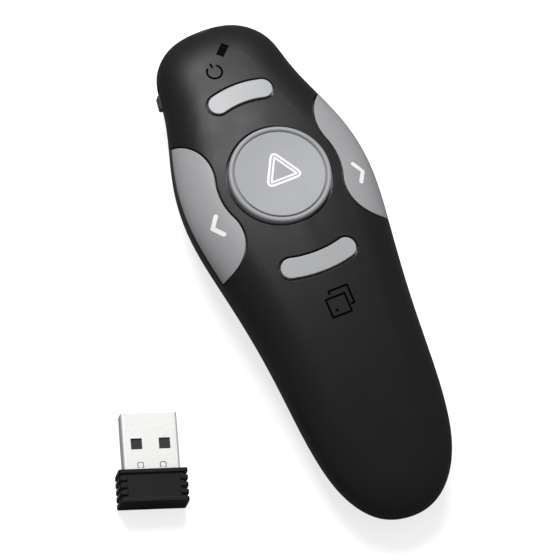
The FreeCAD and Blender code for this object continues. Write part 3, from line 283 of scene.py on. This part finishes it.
ring_inside = ring_radius - ring_stroke / 2
ring_outside = ring_radius + ring_stroke / 2
bpy.ops.mesh.primitive_circle_add(vertices=60, radius=ring_inside, fill_type="NOTHING", location=ring_middle)
ring = bpy.context.object
ring.name = "power_ring"
bpy.ops.object.mode_set(mode="EDIT")
bpy.ops.mesh.select_all(action="SELECT")
bpy.ops.mesh.extrude_region()
bpy.ops.transform.resize(value=(ring_outside / ring_inside, ring_outside / ring_inside, 1))
picked(ring, lambda place: abs(math.atan2(place.x, place.y)) < ring_gap)
bpy.ops.mesh.delete(type="VERT")
printed_on(ring, "upper_shell", "casing", groove_shade_black)

tick_middle = ring_middle + Vector((0, ring_radius, 0))
tick_half = Vector((0, tick_length / 2, 0))
sunk_line("power_tick", tick_middle - tick_half, tick_middle + tick_half, ring_stroke)

across = Vector((screen_half.x, 0, 0))
along = Vector((0, screen_half.y, 0))
rear_middle = screen_middle + screen_shift
rear_left_corner = rear_middle - across + along
rear_low_corner = rear_middle + across - along
for name, start, end in (
        ("front_screen_head", screen_middle - across + along, screen_middle + across + along),
        ("front_screen_tail", screen_middle - across - along, screen_middle + across - along),
        ("front_screen_left", screen_middle - across - along, screen_middle - across + along),
        ("front_screen_right", screen_middle + across - along, screen_middle + across + along),
        ("rear_screen_stub_left", rear_left_corner - Vector((0, screen_stub, 0)), rear_left_corner),
        ("rear_screen_head", rear_left_corner, rear_middle + across + along),
        ("rear_screen_right", rear_low_corner, rear_middle + across + along),
        ("rear_screen_stub_low", rear_low_corner - Vector((screen_stub, 0, 0)), rear_low_corner)):
    sunk_line(name, start, end, screen_stroke)

bpy.ops.mesh.primitive_circle_add(vertices=3, radius=cursor_radius, fill_type="NGON", location=cursor_place)
cursor = bpy.context.object
cursor.name = "screen_cursor"
cursor.rotation_euler = (0, 0, cursor_turn)
bpy.ops.object.mode_set(mode="EDIT")
printed_on(cursor, "upper_shell", "casing", groove_shade_black)

# Circuit board: green-lacquered glass laminate with a chip, a crystal, chip capacitors,
# steel-topped key switches, the slide switch and a small lamp, all soldered on.
board_green = (0.012, 0.085, 0.04)
metal_mottle = 0.001
metal_depth = 0.06
metal_swing = 0.05
metal_strength = 0.4


def metal(name, colour, roughness, lines, relief):
    """Bare or plated metal. The smaller a number in lines, the longer its marks along that axis."""
    material, tree, shader, place = blank(name)
    stretch = tree.nodes.new("ShaderNodeMapping")
    stretch.inputs["Scale"].default_value = lines
    tree.links.new(place, stretch.inputs["Vector"])
    marks = noise(tree, stretch.outputs["Vector"], metal_mottle, 3)
    tint = tinted(tree, marks, shaded(colour, -metal_depth), colour)
    tree.links.new(tint, shader.inputs["Base Color"])
    tree.links.new(spread(tree, marks, roughness, metal_swing), shader.inputs["Roughness"])
    tree.links.new(raised(tree, marks, relief, metal_strength), shader.inputs["Normal"])
    shader.inputs["Metallic"].default_value = 1.0
    return material


for node, name in (("circuit_board", "board_lacquer"), ("receiver_board", "receiver_board_lacquer")):
    dress(node, moulded(name, board_green, roughness=0.28, grain=0.0006, relief=0.00001))
part_black = moulded("part_black", (0.012, 0.012, 0.013), roughness=0.4, grain=0.0001, relief=0.000004)
for node in ("radio_chip", "laser_plunger", "left_plunger", "right_plunger", "upper_plunger",
             "lower_plunger", "slide_lever"):
    dress(node, part_black)
capacitor_body = moulded("capacitor_body", (0.33, 0.2, 0.1), roughness=0.45, grain=0.0001, relief=0.000004)
dress("chip_capacitors", capacitor_body)
lamp_lens = moulded("lamp_lens", (0.85, 0.82, 0.62), roughness=0.15, grain=0.0002, relief=0.000002)
dress("status_led", lamp_lens)
sheet_steel = metal("sheet_steel", (0.62, 0.62, 0.61), roughness=0.3, lines=(0.3, 3, 3), relief=0.000003)
for node in ("key_switches", "slide_switch", "crystal"):
    dress(node, sheet_steel)

# Screws: zinc-plated steel with turned heads. One group holds the board down, and the
# other holds the two shells together.
screw_zinc = metal("screw_zinc", (0.5, 0.5, 0.52), roughness=0.32, lines=(4, 4, 0.5), relief=0.000003)
dress("board_screws", screw_zinc)
dress("shell_screws", screw_zinc)

# Status window: the diamond post of a smoked clear light guide, which ends just under
# the casing's surface ahead of the power ring.
smoked_clear, tree, shader, place = blank("smoked_clear")
haze = noise(tree, place, 0.002, 2)
tree.links.new(tinted(tree, haze, (0.003, 0.003, 0.004), (0.006, 0.006, 0.007)), shader.inputs["Base Color"])
tree.links.new(spread(tree, haze, middle=0.45, swing=0.05), shader.inputs["Roughness"])
shader.inputs["Specular IOR Level"].default_value = 0
dress("light_guide", smoked_clear)

# Laser: a turned brass barrel with a glass lens, its two leads, and a tinted
# window in the head end.
laser_brass = metal("laser_brass", (0.62, 0.44, 0.19), roughness=0.28, lines=(0.4, 4, 0.4), relief=0.000003)
dress("laser_module", laser_brass)
lead_rubber = moulded("lead_rubber", (0.3, 0.012, 0.01), roughness=0.5, grain=0.0003, relief=0.000005)
dress("laser_leads", lead_rubber)
tinted_window = moulded("tinted_window", (0.03, 0.002, 0.003), roughness=0.09, grain=0.001, relief=0.000001)
dress("laser_window", tinted_window)
lens_glass, tree, shader, place = blank("lens_glass")
haze = noise(tree, place, 0.003, 1)
tree.links.new(spread(tree, haze, middle=0.035, swing=0.015), shader.inputs["Roughness"])
shader.inputs["Transmission Weight"].default_value = 1.0
shader.inputs["Base Color"].default_value = (0.92, 0.96, 0.97, 1)
dress("laser_lens", lens_glass)

# Battery: one AAA cell in a printed jacket between a nickel-plated plate and coil.
cell_jacket = metal("cell_jacket", (0.05, 0.12, 0.3), roughness=0.35, lines=(1, 0.2, 1), relief=0.000002)
dress("battery_cell", cell_jacket)
nickel = metal("contact_nickel", (0.66, 0.63, 0.58), roughness=0.25, lines=(1, 1, 1), relief=0.000002)
dress("battery_plate", nickel)
dress("battery_spring", nickel)

# Receiver: a ribbed black grip on a folded sheet-metal plug, with gilt contacts
# on a black tongue inside it.
grip_plastic = moulded("grip_plastic", (0.005, 0.005, 0.0055), roughness=0.4, grain=0.00018,
                       relief=0.000012, specular=0.2, edge_radius=0.0002)
dress("receiver_grip", grip_plastic)
# Nickel plating with painted reflection: the plug is given a near-white colour and is only partly metal, so
# it shows bright as if mirroring the white surround.
plug_nickel = metal("plug_nickel", (0.93, 0.93, 0.92), roughness=0.33, lines=(6, 1.5, 6), relief=0.0000001)
plug_nickel.node_tree.nodes["Principled BSDF"].inputs["Metallic"].default_value = 0.45
dress("receiver_plug", plug_nickel)
tongue_plastic = moulded("tongue_plastic", (0.008, 0.008, 0.009), roughness=0.35, grain=0.0002,
                         relief=0.000004)
dress("receiver_tongue", tongue_plastic)
contact_gilt = metal("contact_gilt", (0.8, 0.56, 0.22), roughness=0.22, lines=(1, 1, 1), relief=0.000001)
dress("receiver_contacts", contact_gilt)

# Studio: a seamless white floor that keeps a soft shadow, a pale surround that lights
# the part evenly and is white only where it is seen straight or through glass, and one
# large soft box high past the head end.
floor_size = 6
floor_drop = 0.0002
floor_card = (0.68, 0.68, 0.68, 1)
floor_glow = 0.7
floor_bounce = (0.2, 0.2, 0.2, 1)
surround_light = 0.32
surround_seen = 1.0
softbox_place = Vector((0.05, 0.62, 0.78))
softbox_aim = Vector((0, 0, 0.01))
softbox_size = 0.5
softbox_watts = 9.5


def either(tree, choice, off, on):
    """The shader called off where the choice is 0, and the one called on where it is 1."""
    mix = tree.nodes.new("ShaderNodeMixShader")
    tree.links.new(choice, mix.inputs["Fac"])
    tree.links.new(off, mix.inputs[1])
    tree.links.new(on, mix.inputs[2])
    return mix.outputs[0]


def card(tree, colour):
    """A matt surface of one colour."""
    matt = tree.nodes.new("ShaderNodeBsdfDiffuse")
    matt.inputs["Color"].default_value = colour
    return matt.outputs[0]


bpy.ops.mesh.primitive_plane_add(size=floor_size, location=(0, 0, -floor_drop))
floor = bpy.context.object
floor.name = "floor"
floor_paint = bpy.data.materials.new("floor_paint")
floor_paint.use_nodes = True
tree = floor_paint.node_tree
tree.nodes.remove(tree.nodes["Principled BSDF"])
glow = tree.nodes.new("ShaderNodeEmission")
glow.inputs["Strength"].default_value = floor_glow
glowing_card = tree.nodes.new("ShaderNodeAddShader")
tree.links.new(card(tree, floor_card), glowing_card.inputs[0])
tree.links.new(glow.outputs[0], glowing_card.inputs[1])
rays = tree.nodes.new("ShaderNodeLightPath")
floor_look = either(tree, rays.outputs["Is Camera Ray"], card(tree, floor_bounce), glowing_card.outputs[0])
tree.links.new(floor_look, tree.nodes["Material Output"].inputs["Surface"])
floor.data.materials.append(floor_paint)

world = bpy.data.worlds.new("surround")
bpy.context.scene.world = world
world.use_nodes = True
tree = world.node_tree
lit = tree.nodes["Background"]
seen = tree.nodes.new("ShaderNodeBackground")
for background, strength in ((lit, surround_light), (seen, surround_seen)):
    background.inputs["Color"].default_value = (1, 1, 1, 1)
    background.inputs["Strength"].default_value = strength
rays = tree.nodes.new("ShaderNodeLightPath")
straight_or_through = tree.nodes.new("ShaderNodeMath")
straight_or_through.operation = "MAXIMUM"
tree.links.new(rays.outputs["Is Camera Ray"], straight_or_through.inputs[0])
tree.links.new(rays.outputs["Is Transmission Ray"], straight_or_through.inputs[1])
world_look = either(tree, straight_or_through.outputs[0], lit.outputs[0], seen.outputs[0])
tree.links.new(world_look, tree.nodes["World Output"].inputs["Surface"])

bpy.ops.object.light_add(type="AREA", location=softbox_place)
softbox = bpy.context.object
softbox.name = "head_softbox"
softbox.data.size = softbox_size
softbox.data.energy = softbox_watts
softbox.rotation_euler = (softbox_aim - softbox_place).to_track_quat("-Z", "Y").to_euler()

# Camera: a long lens above the tail's left side, rolled so that the head leans left.
# The heading is turned about the upright from straight behind the tail, the tilt is
# away from looking straight down, and the roll is about the line of sight.
camera_aim = Vector((-0.006416, -0.000123, 0.009843))
camera_distance = 1.47
camera_heading = math.radians(-49.465)
camera_tilt = math.radians(18.24)
camera_roll = math.radians(26.853)
bpy.ops.object.camera_add()
camera = bpy.context.object
facing = Matrix.Rotation(camera_heading, 4, "Z") @ Matrix.Rotation(camera_tilt, 4, "X")
rolled = facing @ Matrix.Rotation(camera_roll, 4, "Z")
back_off = Matrix.Translation(Vector((0, 0, camera_distance)))
camera.matrix_world = Matrix.Translation(camera_aim) @ rolled @ back_off
camera.data.sensor_width = 36
camera.data.lens = 444.4
bpy.context.scene.camera = camera
bpy.context.scene.view_settings.view_transform = "Standard"
